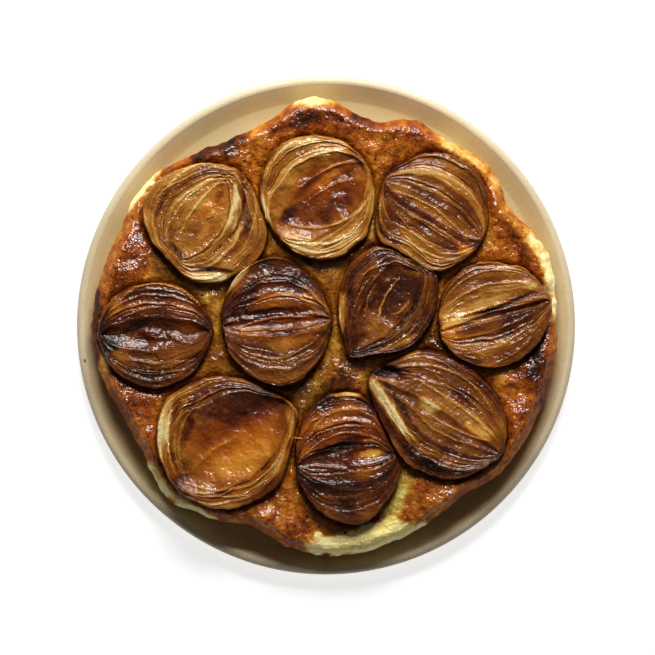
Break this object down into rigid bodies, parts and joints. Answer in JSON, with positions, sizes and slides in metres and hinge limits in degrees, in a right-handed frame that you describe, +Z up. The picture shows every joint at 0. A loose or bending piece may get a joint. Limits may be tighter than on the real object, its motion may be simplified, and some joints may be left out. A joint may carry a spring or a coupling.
{
  "type": "onion tarte tatin on a plate",
  "caption": "Upside-down tart of caramelised onion halves set cut face up in puff pastry, turned out on a round, low-walled stoneware plate.",
  "frame": {"origin": "middle of the plate's foot, on the surface that the plate stands on", "axes": "+Z up, through the thickness of the plate and tart; +X to the right and +Y away, seen from the front edge"},
  "size_m": [0.27, 0.27, 0.035],
  "materials": {
    "stoneware": "matte beige glaze with a fine grain",
    "caramelised_pastry": "baked puff pastry under a brown caramel glaze; golden and pale where the caramel did not reach",
    "caramelised_onion": "soft roasted onion, wet and translucent brown with charred ends"
  },
  "bodies": {
    "root": {"plate": "stoneware", "pastry": "caramelised_pastry", "onion_01": "caramelised_onion", "onion_02": "caramelised_onion", "onion_03": "caramelised_onion", "onion_04": "caramelised_onion", "onion_05": "caramelised_onion", "onion_06": "caramelised_onion", "onion_07": "caramelised_onion", "onion_08": "caramelised_onion", "onion_09": "caramelised_onion", "onion_10": "caramelised_onion"}
  },
  "joints": []
}
